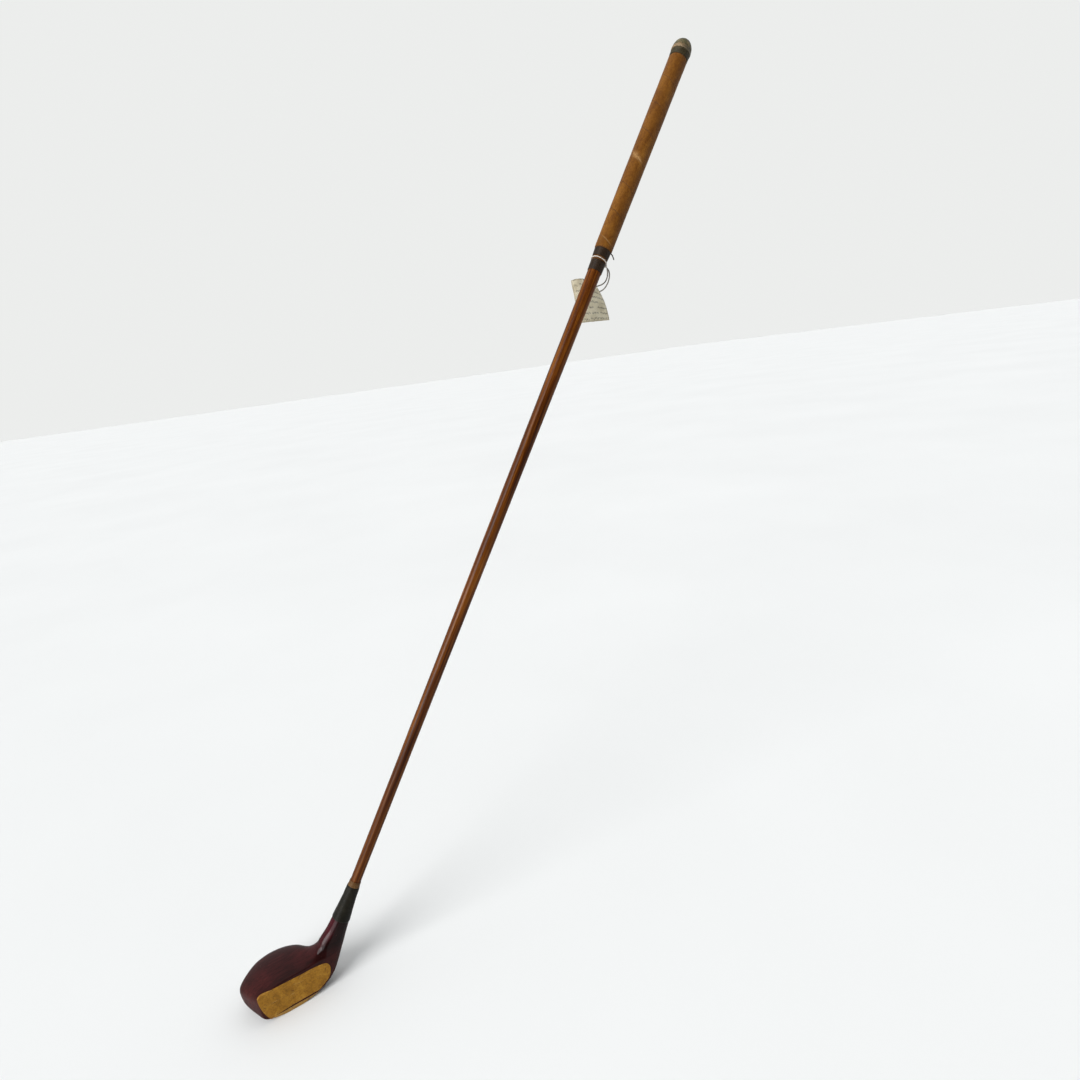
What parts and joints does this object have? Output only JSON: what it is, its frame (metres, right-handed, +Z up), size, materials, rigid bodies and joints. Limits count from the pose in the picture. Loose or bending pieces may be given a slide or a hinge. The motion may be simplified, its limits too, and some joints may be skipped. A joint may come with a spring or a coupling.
{
  "type": "golf driver",
  "caption": "Antique wooden golf driver: socket head with a tan face insert, whipped neck, hickory shaft, leather grip and a paper tag on a string.",
  "frame": {"origin": "on the sole's flat, under the middle of the head, with the club at address", "axes": "+Z up; -Y is where the face looks; the toe points along -X and the shaft leans towards +X"},
  "size_m": [0.6731, 0.0608, 0.9037],
  "materials": {
    "head_wood": "dark cherry stain under glossy varnish",
    "face_fibre": "matt mottled tan",
    "peg_wood": "matt",
    "slip_horn": "worn satin horn",
    "lead": "dull lead",
    "hickory": "varnished, with long dark grain",
    "dark_thread": "waxed thread",
    "pale_thread": "waxed thread",
    "cloth": "woven strip",
    "grip_leather": "worn suede side out",
    "brad_steel": "dull",
    "collar_leather": "matt",
    "cap": "mottled, aged",
    "cotton": "twisted cotton",
    "paper": "aged paper"
  },
  "bodies": {
    "club": {"head": "head_wood", "face_insert": "face_fibre", "face_peg_toe_upper": "peg_wood", "face_peg_toe_lower": "peg_wood", "face_peg_heel_upper": "peg_wood", "face_peg_heel_lower": "peg_wood", "sole_slip": "slip_horn", "sole_slip_peg_1": "peg_wood", "sole_slip_peg_2": "peg_wood", "sole_slip_peg_3": "peg_wood", "back_weight": "lead", "shaft": "hickory", "neck_whipping": "dark_thread", "whipping_end_ring": "pale_thread", "grip_underlisting": "cloth", "grip_leather": "grip_leather", "grip_brad": "brad_steel", "grip_band_lower": "dark_thread", "grip_band_upper": "dark_thread", "butt_whipping": "dark_thread", "butt_collar": "collar_leather", "butt_cap": "cap"},
    "string": {"string_ring": "cotton", "string_knot": "cotton", "tag_string": "cotton"},
    "tag": {"paper_tag": "paper"}
  },
  "joints": [
    {"name": "string_turn", "type": "hinge", "parent": "club", "child": "string", "pos_m": [0.47287, -0.009, 0.67855], "axis": [0.5548, 0, 0.832], "continuous": true},
    {"name": "tag_swing", "type": "hinge", "parent": "string", "child": "tag", "pos_m": [0.46759, 0.007, 0.65225], "axis": [0, 1, 0], "range_deg": [-12, 25]}
  ]
}
